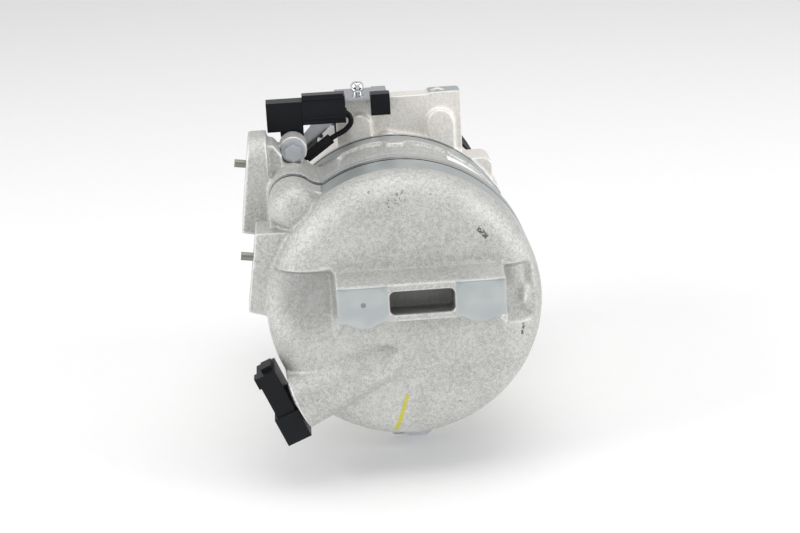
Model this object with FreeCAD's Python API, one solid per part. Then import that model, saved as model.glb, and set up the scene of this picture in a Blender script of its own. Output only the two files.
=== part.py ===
import FreeCAD, Part

import math
import os

# Automotive air-conditioning compressor: six-piston, variable-stroke swash-plate machine with a
# magnetic clutch. Millimetres, +Z up. The shaft lies along Y, the rear head faces -Y, the hose
# ports face -X. The origin is on the shaft axis in the middle plane of the drive belt.

# ---- driving dimensions -------------------------------------------------------------------
BORE_R = 16.0            # cylinder bore radius
PITCH_R = 36.0           # radius of the circle through the piston axes
PISTONS = 6
MAX_TILT = math.radians(20.0)
PLATE_HALF = 4.0         # half thickness of the swash plate's running track
PLATE_R = 46.0
SHAFT_R = 9.0
BODY_R = 62.1            # rear head and rear flange of the cylinder block
BLOCK_R = 59.0           # cylinder block between its flanges
FRONT_R = 59.5           # front housing
CRANKCASE_R = 53.0
BOLT_R = 4.0             # M8 through bolts
BOLT_PITCH_R = 52.5
PULLEY_R = 55.0
PULLEY_HALF = 13.0
NOSE_R = 17.5            # bearing nose, for a 35 x 55 x 20 pulley bearing
BEARING_R = 27.5
RUN = 0.05               # radial running clearance

# ---- stations along the shaft -------------------------------------------------------------
HEAD_JOINT = -141.0      # joint face of the rear head
GASKET = 0.6
PLATE_T = 3.0
REED_T = 0.4
BLOCK_REAR = HEAD_JOINT + GASKET + PLATE_T + REED_T
BLOCK_FACE = -100.0      # front end of the cylinder bores
FRONT_JOINT = -86.0      # block to front housing
SWASH_Y = -91.0          # swash plate's middle plane at least stroke
CLAW_INNER = PITCH_R - 8.5  # flat on the inner side of each piston's claw
LUG_Y = (-44.0, -34.0)
END_WALL = (-31.0, -20.0)
HEAD_RIM = -159.0        # where the rear head's rim turns into its dome
HEAD_FACE = -175.0
BEAM_FACE = -187.0

# ---- the lobe that carries suction gas past the rear joint ---------------------------------
LOBE_X, LOBE_Z, LOBE_R = -47.0, 46.5, 11.0
LOBE_BLEND = 9.0
BLEND_BITE = 1.1         # how far the blend runs into the body's circle


def vec(x, y, z):
    return FreeCAD.Vector(x, y, z)


def cyl(radius, y0, y1, x=0.0, z=0.0):
    """Cylinder along +Y from y0 to y1."""
    return Part.makeCylinder(radius, y1 - y0, vec(x, y0, z), vec(0, 1, 0))


def ring(inner, outer, y0, y1, x=0.0, z=0.0):
    """Plain tube along +Y."""
    return cyl(outer, y0, y1, x, z).cut(cyl(inner, y0 - 1, y1 + 1, x, z))


def box(x0, x1, y0, y1, z0, z1):
    return Part.makeBox(x1 - x0, y1 - y0, z1 - z0, vec(x0, y0, z0))


def turned(points):
    """Solid of revolution about the shaft axis from a closed outline of (radius, y) points."""
    wire = Part.makePolygon([vec(r, y, 0) for r, y in points + points[:1]])
    return Part.Face(wire).revolve(vec(0, 0, 0), vec(0, 1, 0), 360)


def prism(points, y0, y1):
    """Outline of (x, z) points pushed along +Y."""
    wire = Part.makePolygon([vec(x, y0, z) for x, z in points + points[:1]])
    return Part.Face(wire).extrude(vec(0, y1 - y0, 0))


def side_prism(points, x0, x1):
    """Outline of (y, z) points pushed along +X."""
    wire = Part.makePolygon([vec(x0, y, z) for y, z in points + points[:1]])
    return Part.Face(wire).extrude(vec(x1 - x0, 0, 0))


def rod(start, end, radius, tip_radius=None):
    """Cylinder or cone between two points."""
    run = end.sub(start)
    if tip_radius is None:
        return Part.makeCylinder(radius, run.Length, start, run)
    return Part.makeCone(radius, tip_radius, run.Length, start, run)


def fuse(shapes):
    whole = shapes[0].multiFuse(shapes[1:]) if len(shapes) > 1 else shapes[0]
    return whole.removeSplitter()


def spin(shape, degrees):
    """Copy turned about the shaft axis; positive goes from +Z towards +X."""
    turned_copy = shape.copy()
    turned_copy.rotate(vec(0, 0, 0), vec(0, 1, 0), degrees)
    return turned_copy


def around(shape, count, start=0.0):
    return [spin(shape, start + i * 360.0 / count) for i in range(count)]


def hexagon(across_flats, y0, y1, x=0.0, z=0.0):
    corner = across_flats / math.sqrt(3)
    angles = [math.radians(60 * i + 30) for i in range(6)]
    return prism([(x + corner * math.cos(a), z + corner * math.sin(a)) for a in angles], y0, y1)


def save(name, shape):
    solids = shape if isinstance(shape, list) else [shape]
    whole = solids[0] if len(solids) == 1 else Part.makeCompound(solids)
    whole.exportStep("parts/" + name + ".step")
    print("%-24s solids %2d  valid %s  volume %9.1f"
          % (name, len(whole.Solids), whole.isValid(), whole.Volume))


# ---- housings ------------------------------------------------------------------------------

def joint_outline(y0, y1, radius=BODY_R):
    """The joint's shape pushed along Y: a round body with one lobe at the upper left."""
    lobe = LOBE_R
    blend = LOBE_BLEND
    inner = radius - BLEND_BITE
    lobe_reach = math.hypot(LOBE_X, LOBE_Z)
    blend_reach = inner + blend
    cosine = (blend_reach ** 2 + lobe_reach ** 2 - (lobe + blend) ** 2) / (2 * blend_reach * lobe_reach)
    angle = math.atan2(LOBE_Z, LOBE_X) - math.acos(cosine)
    blend_x = blend_reach * math.cos(angle)
    blend_z = blend_reach * math.sin(angle)
    left = LOBE_X - lobe

    def on_circle(x, z, r, a):
        return vec(x + r * math.cos(a), y0, z + r * math.sin(a))

    to_blend = math.atan2(blend_z - LOBE_Z, blend_x - LOBE_X)
    foot = vec(left, y0, math.sqrt(inner ** 2 - left ** 2))
    shoulder = vec(left, y0, LOBE_Z)
    top = on_circle(LOBE_X, LOBE_Z, lobe, to_blend)
    body = on_circle(0, 0, inner, angle)
    dip = (to_blend + math.pi + angle + math.pi) / 2
    edges = [
        Part.LineSegment(foot, shoulder).toShape(),
        Part.Arc(shoulder, on_circle(LOBE_X, LOBE_Z, lobe, (math.pi + to_blend) / 2), top).toShape(),
        Part.Arc(top, on_circle(blend_x, blend_z, blend, dip), body).toShape(),
        Part.Arc(body, on_circle(0, 0, inner, math.radians(-60)), foot).toShape(),
    ]
    return fuse([Part.Face(Part.Wire(edges)).extrude(vec(0, y1 - y0, 0)), cyl(radius, y0, y1)])


def bolt_holes(y0, y1, radius):
    return around(cyl(radius, y0, y1, 0, BOLT_PITCH_R), PISTONS)


def port_frame(x, y, z):
    """Point on a port face, and the direction in which a hose leaves it."""
    lean = math.radians(8)
    return vec(x, y, z), vec(-math.cos(lean), 0, math.sin(lean))


def drill(point, out, radius, depth):
    """Round hole from just outside a face to a depth under it."""
    start = point.add(out * 2)
    return Part.makeCylinder(radius, depth + 2, start, out * -1)


SUCTION_PORT = port_frame(-69.6, -112, 43)
SUCTION_BOLT = port_frame(-66.9, -112, 62)
SUCTION_PIN = port_frame(-68.0, -104, 54.7)
DISCHARGE_PORT = port_frame(-68.2, -152, 14)
DISCHARGE_BOLT = port_frame(-65.6, -148.5, 31)
DISCHARGE_PIN = port_frame(-66.45, -156.5, 25.5)
SUCTION_R = 9.0
PORT_TOP = 70.8          # top of the suction flange, with rounded corners
PORT_ROUND = 11.0
DISCHARGE_R = 6.5
PORT_BOLT_R = 3.4
PORT_BOLT_DEPTH = 15.0
PIN_R = 1.85

RELIEF_X, RELIEF_Z, RELIEF_SEAT = -45.5, 61.5, -111.0
PLUG_X, PLUG_Y, PLUG_SEAT = 4.7, -124.6, -68.0
FOOT_FACE = -82.0

# ---- the control valve's bore, at a slope across the rear head ------------------------------
VALVE_Y = -165.0
VALVE_END = vec(-50.3, VALVE_Y, -39.4)
VALVE_TIP = vec(-11.0, VALVE_Y, -22.8)
VALVE_OUT = VALVE_END.sub(VALVE_TIP).normalize()
VALVE_DOWN = vec(-VALVE_OUT.z, 0, VALVE_OUT.x)
VALVE_R = 8.5
VALVE_DEPTH = 36.0
RIDGE_SHIFT = 5.0        # the boss is deeper to the rear than it is wide


def on_valve(along, down=0.0, y=0.0):
    """Point at a distance out of the valve bore's mouth."""
    return VALVE_END.add(VALVE_OUT * along).add(VALVE_DOWN * down).add(vec(0, y, 0))


def rear_head():
    fillet = HEAD_RIM - HEAD_FACE
    flat = BODY_R - fillet
    half = math.sqrt(0.5)
    edges = [
        Part.LineSegment(vec(0, HEAD_JOINT, 0), vec(BODY_R, HEAD_JOINT, 0)).toShape(),
        Part.LineSegment(vec(BODY_R, HEAD_JOINT, 0), vec(BODY_R, HEAD_RIM, 0)).toShape(),
        Part.Arc(vec(BODY_R, HEAD_RIM, 0), vec(flat + fillet * half, HEAD_RIM - fillet * half, 0),
                 vec(flat, HEAD_FACE, 0)).toShape(),
        Part.LineSegment(vec(flat, HEAD_FACE, 0), vec(0, HEAD_FACE, 0)).toShape(),
        Part.LineSegment(vec(0, HEAD_FACE, 0), vec(0, HEAD_JOINT, 0)).toShape(),
    ]
    dome = Part.Face(Part.Wire(edges)).revolve(vec(0, 0, 0), vec(0, 1, 0), 360)
    lobe = joint_outline(HEAD_RIM + 5, HEAD_JOINT)
    lobe_end = Part.makeSphere(LOBE_R - 0.4, vec(LOBE_X, HEAD_RIM + 5, LOBE_Z))
    beam = side_prism([(-172, 0.8), (BEAM_FACE, 0.8), (BEAM_FACE, 17.6), (-174, 22), (-172, 22)],
                      -31, 43)
    pads = [cyl(11, BEAM_FACE - 0.3, -173, x, 9.3).common(box(-31, 43, -190, -170, -3, 17.6))
            for x in (-19.5, 31.5)]
    discharge = prism([(-50, 37.4), (-64.5, 37.4), (-70.2, 1), (-60, -2), (-45, 0), (-40, 30)],
                      -162, HEAD_JOINT)
    boss = rod(on_valve(0), VALVE_TIP, 14.2, 11.0)
    boss_tip = Part.makeSphere(11.0, VALVE_TIP)
    ridge_tip = VALVE_TIP.add(vec(0, -RIDGE_SHIFT, 0))
    ridge = rod(on_valve(0, y=-RIDGE_SHIFT), ridge_tip, 13.2, 10.0)
    ridge_end = Part.makeSphere(10.0, ridge_tip)
    head = fuse([dome, lobe, lobe_end, beam] + pads + [discharge, boss, boss_tip, ridge, ridge_end])

    chamber = cyl(32, -158, HEAD_JOINT + 1)
    suction = ring(36, 47.5, -156, HEAD_JOINT + 1)
    lobe_duct = cyl(6, -152, HEAD_JOINT + 1, -45, 44)
    lobe_link = rod(vec(-45, -148, 44), vec(-29, -148, 29), 5)
    valve_bore = rod(on_valve(1), on_valve(-VALVE_DEPTH), VALVE_R)
    screw_bosses = bolt_holes(-157, HEAD_JOINT + 0.5, 6.8)
    port_wall = rod(DISCHARGE_PORT[0], DISCHARGE_PORT[0].sub(DISCHARGE_PORT[1] * 40), DISCHARGE_R + 2.5)
    suction = suction.cut(fuse(screw_bosses + [port_wall]))
    hollow = fuse([chamber, suction, lobe_duct, lobe_link])
    valve_wall = rod(on_valve(0), on_valve(-VALVE_DEPTH - 3), VALVE_R + 2.5)
    head = head.cut(hollow.cut(valve_wall)).cut(valve_bore)
    head = head.cut(fuse(bolt_holes(-157, HEAD_JOINT + 1, BOLT_R)))
    pocket = box(-8, 20.5, BEAM_FACE - 2, BEAM_FACE + 11, 3.8, 14.5)
    along_y = [e for e in pocket.Edges if abs(e.tangentAt(e.FirstParameter).y) > 0.9]
    head = head.cut(pocket.makeFillet(2.2, along_y))
    head = head.cut(drill(*DISCHARGE_PORT, DISCHARGE_R, 16))
    head = head.cut(drill(*DISCHARGE_PORT, DISCHARGE_R - 2, 42))
    head = head.cut(drill(*DISCHARGE_BOLT, PORT_BOLT_R, PORT_BOLT_DEPTH))
    head = head.cut(drill(*DISCHARGE_PIN, PIN_R, 8))
    return head.removeSplitter()


def joint_sheet(y0, y1, holes):
    """Flat sheet in the joint's shape, with bolt holes, the lobe's gas way and other holes."""
    sheet = joint_outline(y0, y1)
    cuts = bolt_holes(y0 - 1, y1 + 1, BOLT_R + 0.3) + [cyl(6, y0 - 1, y1 + 1, -45, 44)] + holes
    for cut in cuts:
        sheet = sheet.cut(cut)
    return sheet


def rear_gasket():
    y0, y1 = HEAD_JOINT, HEAD_JOINT + GASKET
    return joint_sheet(y0, y1, [cyl(32, y0 - 1, y1 + 1), ring(36, 47.5, y0 - 1, y1 + 1)]).Solids


def valve_holes(y0, y1):
    return (around(cyl(3.2, y0, y1, 0, 26.5), PISTONS, 30)
            + around(cyl(4.4, y0, y1, 0, 42.0), PISTONS, 30))


def valve_plate():
    y0 = HEAD_JOINT + GASKET
    y1 = y0 + PLATE_T
    rivet_hole = cyl(2.6, y0 - 1, y1 + 1)
    return joint_sheet(y0, y1, valve_holes(y0 - 1, y1 + 1) + [rivet_hole])


def suction_reed():
    """Rubber-coated spring-steel sheet; a U-shaped cut frees one tongue over each suction hole."""
    y0, y1 = BLOCK_REAR - REED_T, BLOCK_REAR
    slot = ring(5.4, 6.6, y0 - 1, y1 + 1, 0, 42.0).cut(box(-3, 3, y0 - 2, y1 + 2, 30, 42))
    relief = cyl(3.6, y0 - 1, y1 + 1, 0, 26.5)
    return joint_sheet(y0, y1, around(slot, PISTONS, 30) + around(relief, PISTONS, 30))


def discharge_reed():
    """Star of six tongues that lie over the discharge holes inside the head."""
    y0, y1 = HEAD_JOINT + GASKET - REED_T, HEAD_JOINT + GASKET
    tongue = fuse([box(-3, 3, y0, y1, 0, 26), cyl(4.3, y0, y1, 0, 26)])
    return fuse([cyl(10, y0, y1)] + around(tongue, PISTONS, 30)).cut(cyl(2.6, y0 - 1, y1 + 1))


def reed_retainer():
    """Stiff star riveted behind the reed, its arms stepped back so that the tongues can lift."""
    y1 = HEAD_JOINT + GASKET - REED_T
    arm = side_prism([(y1, 8), (y1 - 1.6, 8), (y1 - 3.4, 30), (y1 - 1.8, 30)], -3.4, 3.4)
    star = fuse([cyl(10.5, y1 - 1.6, y1)] + around(arm, PISTONS, 30))
    rivet = fuse([cyl(2.5, y1 - 2, HEAD_JOINT + GASKET + PLATE_T), cyl(5, y1 - 4, y1 - 1.6)])
    return fuse([star, rivet])


LOBE_BODY_R = 60.5
BUMPS = 12               # swellings on the rear edge of the block's front flange
BUMP_R = 5.5
WAIST_R = 57.4           # between the front flange and the middle of the block


def cylinder_block():
    """Cast block: six bores, the suction port's block and the lobe that leads its gas rearwards."""
    body = turned([(0, BLOCK_REAR), (BLOCK_R, BLOCK_REAR), (BLOCK_R, -107), (WAIST_R, -102.5),
                   (WAIST_R, -95), (FRONT_R, -95), (FRONT_R, FRONT_JOINT), (0, FRONT_JOINT)])
    bump = Part.makeCylinder(BUMP_R, 20, vec(0, -96, 48), vec(0, 0, 1))
    bumps = [b.common(cyl(FRONT_R, -105, -90)) for b in around(bump, BUMPS, 2.5)]
    flange = joint_outline(BLOCK_REAR, BLOCK_REAR + 9)
    lobe = joint_outline(BLOCK_REAR, -104, LOBE_BODY_R).common(box(-75, -25, -140, -100, 0, 80))
    lobe = fuse([lobe, cyl(LOBE_BODY_R, BLOCK_REAR, BLOCK_REAR + 13)])
    port_flange = prism([(-57.5, 75.4), (-65.2, 75.4), (-71.7, 28.0), (-64, 26.5), (-57.5, 26.5)],
                        -128, -96)
    port_outline = box(-80, -50, -128, -96, 20, PORT_TOP)
    top_edges = [e for e in port_outline.Edges if e.CenterOfMass.z > PORT_TOP - 0.1
                 and abs(e.tangentAt(e.FirstParameter).x) > 0.9]
    port_flange = port_flange.common(port_outline.makeFillet(PORT_ROUND, top_edges))
    port_neck = prism([(-58, 67.5), (-54.5, 67), (-50.8, 62), (-50.8, 50), (-44, 40), (-50, 30),
                       (-58, 28)], -122, -104)
    relief_boss = cyl(6.5, RELIEF_SEAT, -99, RELIEF_X, RELIEF_Z)
    foot = prism([(-11, -50), (-11, -78), (-7, FOOT_FACE), (8, FOOT_FACE), (13, -75), (13, -50)],
                 -116, -100)
    plug_boss = Part.makeCylinder(9.3, 18, vec(PLUG_X, PLUG_Y, PLUG_SEAT + 18), vec(0, 0, -1))
    block = fuse([body, flange, lobe, port_flange, port_neck, relief_boss, foot, plug_boss] + bumps)
    crank = cyl(CRANKCASE_R - 2.6, BLOCK_FACE, FRONT_JOINT + 1)
    cuts = [crank, cyl(13, BLOCK_REAR - 1, BLOCK_FACE + 1)]
    cuts += around(cyl(BORE_R, BLOCK_REAR - 1, FRONT_JOINT + 1, 0, PITCH_R), PISTONS, 30)
    cuts += bolt_holes(BLOCK_REAR - 1, FRONT_JOINT + 1, BOLT_R + 0.3)
    cuts += [cyl(6, BLOCK_REAR - 1, -109, -45, 44)]
    cuts += [rod(vec(-45, -112, 44), SUCTION_PORT[0].add(SUCTION_PORT[1] * 2), 5.8)]
    cuts += [drill(*SUCTION_PORT, SUCTION_R, 14), drill(*SUCTION_BOLT, PORT_BOLT_R, PORT_BOLT_DEPTH)]
    cuts += [drill(*SUCTION_PIN, PIN_R, 8)]
    cuts += [Part.makeCylinder(5.0, 12, vec(PLUG_X, PLUG_Y, PLUG_SEAT + 11), vec(0, 0, -1))]
    cuts += [cyl(3.0, RELIEF_SEAT - 1, RELIEF_SEAT + 7, RELIEF_X, RELIEF_Z)]
    cuts += [cyl(6.0, RELIEF_SEAT - 6, RELIEF_SEAT, RELIEF_X, RELIEF_Z)]
    for cut in cuts:
        block = block.cut(cut)
    return block.removeSplitter()


# ---- front housing ---------------------------------------------------------------------------

FRONT_REAR = FRONT_JOINT + GASKET
BOLT_SEAT = -27.0
PLATE_X = (-24.0, 36.0)          # upper mount plate
PLATE_Y = (-80.0, -69.0)
PLATE_TOP = 78.2
MOUNT_HOLE_X = 25.6
MOUNT_HOLE_Y = -74.5
MOUNT_HOLE_R = 3.4               # tapping size of M8
SCREW_X, SCREW_Y = -13.0, -74.5
SCREW_R = 1.7
SIDE_HOLE_Y, SIDE_HOLE_Z = -75.0, 38.0
SIDE_HOLE_DEPTH = 8.0
FOOT_Y, FOOT_Z = -58.0, -63.5    # cross tube under the front housing
FOOT_HALF = 26.0
FOOT_R = 9.0
FOOT_BORE = 4.3
NOSE_RING = (10.1, 11.4)


def front_housing():
    """Crankcase, front wall and bearing nose, with the upper mount plate and two mount lugs."""
    shell = turned([(0, FRONT_REAR), (FRONT_R, FRONT_REAR), (FRONT_R, FRONT_REAR + 4),
                    (57, FRONT_REAR + 7), (57, -46), (53, -30), (47, END_WALL[1] - 4),
                    (47, END_WALL[1]), (NOSE_R, END_WALL[1]), (NOSE_R, 12.6), (NOSE_R - 0.6, 13.2),
                    (0, 13.2)])
    bosses = bolt_holes(FRONT_REAR, BOLT_SEAT, 8.0)
    plate = box(*PLATE_X, *PLATE_Y, 44, PLATE_TOP - 1.2)
    pad = box(21, PLATE_X[1], *PLATE_Y, 60, PLATE_TOP)
    ribs = [fuse([cyl(r, PLATE_Y[0] - 5, PLATE_Y[0] + 1, x, 70 - r),
                  box(x - r, x + r, PLATE_Y[0] - 5, PLATE_Y[0] + 1, 50, 70 - r)])
            for x, r in ((MOUNT_HOLE_X, 6.5), (SCREW_X, 5.4))]
    web = side_prism([(PLATE_Y[1] - 1, 50), (PLATE_Y[1] - 1, 74), (-36, 50)], 2, 9)
    lug = fuse([box(34, 46, -84, -66, 26, 45), cyl(4.4, -84, -66, 45.6, 40.6),
                box(44, 50, -84, -66, 24, 40.6)])
    foot = Part.makeCylinder(FOOT_R, 2 * FOOT_HALF, vec(-FOOT_HALF, FOOT_Y, FOOT_Z), vec(1, 0, 0))
    foot_web = box(-FOOT_HALF + 3, FOOT_HALF - 3, FOOT_Y - 4, FOOT_Y + 4, FOOT_Z, -48)
    housing = fuse([shell, plate, pad, web, lug, foot, foot_web] + ribs + bosses)
    cavity = turned([(0, FRONT_REAR - 1), (CRANKCASE_R, FRONT_REAR - 1), (CRANKCASE_R, -46),
                     (44, -34), (44, END_WALL[0]), (0, END_WALL[0])])
    cuts = [cavity, cyl(13, END_WALL[0] - 1, -12), cyl(14, -14, 20)]
    cuts += bolt_holes(FRONT_REAR - 1, BOLT_SEAT + 1, BOLT_R + 0.3)
    cuts += bolt_holes(BOLT_SEAT, -5, 8.6)
    cuts += [ring(NOSE_R - 0.9, NOSE_R + 1, *NOSE_RING)]
    top_hole = vec(MOUNT_HOLE_X, MOUNT_HOLE_Y, PLATE_TOP + 1)
    cuts += [Part.makeCylinder(MOUNT_HOLE_R, 24, top_hole, vec(0, 0, -1))]
    cuts += [Part.makeCylinder(SCREW_R, 12, vec(SCREW_X, SCREW_Y, PLATE_TOP), vec(0, 0, -1))]
    side_hole = vec(51, SIDE_HOLE_Y, SIDE_HOLE_Z)
    cuts += [Part.makeCylinder(MOUNT_HOLE_R, SIDE_HOLE_DEPTH + 1, side_hole, vec(-1, 0, 0))]
    cuts += [Part.makeCylinder(FOOT_BORE, 56, vec(-28, FOOT_Y, FOOT_Z), vec(1, 0, 0))]
    for cut in cuts:
        housing = housing.cut(cut)
    return housing.removeSplitter()


def front_gasket():
    y0, y1 = FRONT_JOINT, FRONT_REAR
    sheet = ring(CRANKCASE_R, FRONT_R, y0, y1)
    for hole in bolt_holes(y0 - 1, y1 + 1, BOLT_R + 0.3):
        sheet = sheet.cut(hole)
    return sheet.Solids


def housing_bolts():
    """Six flanged hexagon bolts from the front housing into the rear head's blind threads."""
    bolt = fuse([cyl(BOLT_R, -156, BOLT_SEAT, 0, BOLT_PITCH_R),
                 cyl(7.8, BOLT_SEAT, BOLT_SEAT + 1.6, 0, BOLT_PITCH_R),
                 hexagon(12, BOLT_SEAT + 1.6, BOLT_SEAT + 6.5, 0, BOLT_PITCH_R)])
    return around(bolt, PISTONS)


# ---- small pieces on the housings ------------------------------------------------------------

def relief_valve():
    """Pressure relief valve: flanged hexagon screwed forwards into the block's shoulder."""
    x, z = RELIEF_X, RELIEF_Z
    return fuse([cyl(3.0, RELIEF_SEAT, RELIEF_SEAT + 7, x, z),
                 cyl(5.6, RELIEF_SEAT - 1.6, RELIEF_SEAT, x, z),
                 hexagon(7.5, RELIEF_SEAT - 5.5, RELIEF_SEAT - 1.6, x, z)])


def port_pins():
    """Spring pins that line up the hose blocks, one beside each port."""
    return [rod(point.sub(out * 7.9), point.add(out * 5.4), PIN_R)
            for point, out in (SUCTION_PIN, DISCHARGE_PIN)]


def oil_plug():
    """Drain plug beside the block's foot: thread, flange and hexagon, its axis upright."""
    thread = Part.makeCylinder(5.0, 10, vec(PLUG_X, PLUG_Y, PLUG_SEAT + 10), vec(0, 0, -1))
    flange = Part.makeCylinder(8.3, 1.5, vec(PLUG_X, PLUG_Y, PLUG_SEAT), vec(0, 0, -1))
    head = hexagon(14, 0, 7.5)
    head.rotate(vec(0, 0, 0), vec(1, 0, 0), -90)
    head.rotate(vec(0, 0, 0), vec(0, 0, 1), 30)
    head.translate(vec(PLUG_X, PLUG_Y, PLUG_SEAT - 1.5))
    return fuse([thread, flange, head])


def label():
    """Blank paper label on the block's upper right shoulder."""
    sheet = ring(BLOCK_R, BLOCK_R + 0.25, -123.5, -107.5)
    a0, a1 = math.radians(26), math.radians(53)
    far = 90
    return sheet.common(prism([(0, 0), (far * math.sin(a0), far * math.cos(a0)),
                               (far * math.sin(a1), far * math.cos(a1))], -130, -90))


# ---- control valve ---------------------------------------------------------------------------

VALVE_SPRING = (-32.9, -27.3)    # along the valve's axis
SPOOL_HEAD = (-27.2, -25.2)
O_RINGS = (-31.0, -21.0, -12.0, -4.0)


def control_valve_body():
    """Solenoid valve body with four O-ring grooves and a blind bore for its spool."""
    body = rod(on_valve(0.8), on_valve(-VALVE_DEPTH + 1), VALVE_R - 0.05)
    body = body.cut(rod(on_valve(VALVE_SPRING[0] - 0.1), on_valve(-24.0), 3.2))
    body = body.cut(rod(on_valve(-24.5), on_valve(-5.0), 1.65))
    for along in O_RINGS:
        groove = rod(on_valve(along - 1.1), on_valve(along + 1.1), VALVE_R + 1)
        body = body.cut(groove.cut(rod(on_valve(along - 2), on_valve(along + 2), VALVE_R - 1.5)))
    return body


def control_valve_orings():
    return [rod(on_valve(a - 0.9), on_valve(a + 0.9), VALVE_R).cut(
        rod(on_valve(a - 2), on_valve(a + 2), VALVE_R - 1.5)) for a in O_RINGS]


def control_valve_spool():
    return fuse([rod(on_valve(SPOOL_HEAD[0]), on_valve(SPOOL_HEAD[1]), 2.9),
                 rod(on_valve(SPOOL_HEAD[1]), on_valve(-6.0), 1.6)])


def coil_spring(start, axis, length, mean_r, wire_r, turns):
    """Round-wire helical spring with its axis along a direction."""
    pitch = (length - 2 * wire_r) / turns
    helix = Part.makeHelix(pitch, pitch * turns, mean_r)
    section = Part.Wire([Part.makeCircle(wire_r, vec(mean_r, 0, 0), vec(0, 1, 0))])
    spring = Part.Wire(helix.Edges).makePipeShell([section], True, True)
    spring.translate(vec(0, 0, wire_r))
    placement = FreeCAD.Placement(start, FreeCAD.Rotation(vec(0, 0, 1), axis))
    return spring.transformGeometry(placement.toMatrix())


def control_valve_spring():
    length = VALVE_SPRING[1] - VALVE_SPRING[0]
    return coil_spring(on_valve(VALVE_SPRING[0]), VALVE_OUT, length, 2.3, 0.35, 3.5)


def control_valve_ring():
    """Open retaining ring that holds the valve in its bore."""
    return rod(on_valve(0.85), on_valve(1.85), 8.4).cut(rod(on_valve(0), on_valve(3), 6.2))


def valve_block(along0, along1, down0, down1, half_y):
    """Box in the control valve's own directions."""
    corner = on_valve(along0, down0, -half_y)
    edge_a = VALVE_OUT * (along1 - along0)
    edge_d = VALVE_DOWN * (down1 - down0)
    loop = [corner, corner.add(edge_a), corner.add(edge_a).add(edge_d), corner.add(edge_d), corner]
    return Part.Face(Part.makePolygon(loop)).extrude(vec(0, 2 * half_y, 0))


def control_valve_connector():
    """Plastic plug on the valve's end: neck, housing, latch nub and a socket that opens downwards."""
    neck = rod(on_valve(1.9), on_valve(4), 7.6)
    body = valve_block(3, 12, -19, 8, 8.5)
    shroud = valve_block(2, 13.5, 2, 16, 9.5)
    nub = valve_block(11.5, 14, -17.5, -12.0, 3.0)
    cap = valve_block(4, 9, -21, -18, 4.5)
    whole = fuse([neck, body, shroud, nub, cap])
    return whole.cut(valve_block(4, 11.5, 6, 17, 7.5))


# ---- running gear ----------------------------------------------------------------------------

def needle_bearing(y0, y1):
    return ring(SHAFT_R + 0.03, 13.0, y0, y1)


def thrust_bearing():
    return ring(SHAFT_R + 2, 30, LUG_Y[1] + 0.1, END_WALL[0])


def shaft():
    """Stepped shaft: rear journal, sleeve seat, front journal, seal seat, spline and tapped end."""
    body = turned([(0, -134), (SHAFT_R - 0.6, -134), (SHAFT_R, -133.4), (SHAFT_R, 4), (6.5, 4),
                   (6.5, 21.5), (0, 21.5)])
    return body.cut(cyl(3.0, 6, 22))


def lug_plate():
    """Drives the swash plate: a disc with two arms that turn inside the claws, and a balance weight."""
    disc = ring(SHAFT_R, 38, *LUG_Y)
    inside_claws = cyl(CLAW_INNER - 0.5, LUG_Y[0] - 13, LUG_Y[1])
    arms = [box(x - 3, x + 3, LUG_Y[0] - 12, LUG_Y[0] + 1, 18, 33).common(inside_claws) for x in (-9.5, 9.5)]
    weight = ring(24, 37, LUG_Y[0] - 5, LUG_Y[0] + 1).common(box(-40, 40, -60, -30, -40, -12))
    return fuse([disc, weight] + arms)


def swash_sleeve():
    """Sliding sleeve with two trunnions that carry the swash plate."""
    sleeve = cyl(15, SWASH_Y - 8, SWASH_Y + 8)
    pins = Part.makeCylinder(4.0, 46, vec(-23, SWASH_Y, 0), vec(1, 0, 0))
    return fuse([sleeve, pins]).cut(cyl(SHAFT_R + RUN, SWASH_Y - 9, SWASH_Y + 9))


def swash_plate():
    """Running track, hub with trunnion holes, guide arm towards the lug plate and balance slot."""
    disc = cyl(PLATE_R, SWASH_Y - PLATE_HALF, SWASH_Y + PLATE_HALF)
    hub = cyl(25, SWASH_Y - 6.4, SWASH_Y + 7)
    arm = box(-4, 4, SWASH_Y + 3, SWASH_Y + 27, 19.5, 26.5)
    plate = fuse([disc, hub, arm])
    plate = plate.cut(cyl(19, SWASH_Y - 8, SWASH_Y + 8))
    return plate.cut(Part.makeCylinder(4.0 + RUN, 54, vec(-27, SWASH_Y, 0), vec(1, 0, 0)))


def tilt_spring():
    return coil_spring(vec(0, SWASH_Y + 8.1, 0), vec(0, 1, 0), LUG_Y[0] - SWASH_Y - 8.2, 11.6, 1.1, 5)


def return_spring():
    return coil_spring(vec(0, -113.8, 0), vec(0, 1, 0), SWASH_Y - 8.1 + 113.8, 11.2, 0.9, 4)


CLAW = 10.5              # half width of a piston's claw
CLAW_REACH = 14.5        # from the ball centre to each end of the claw
BALL_R = 8.2


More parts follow.
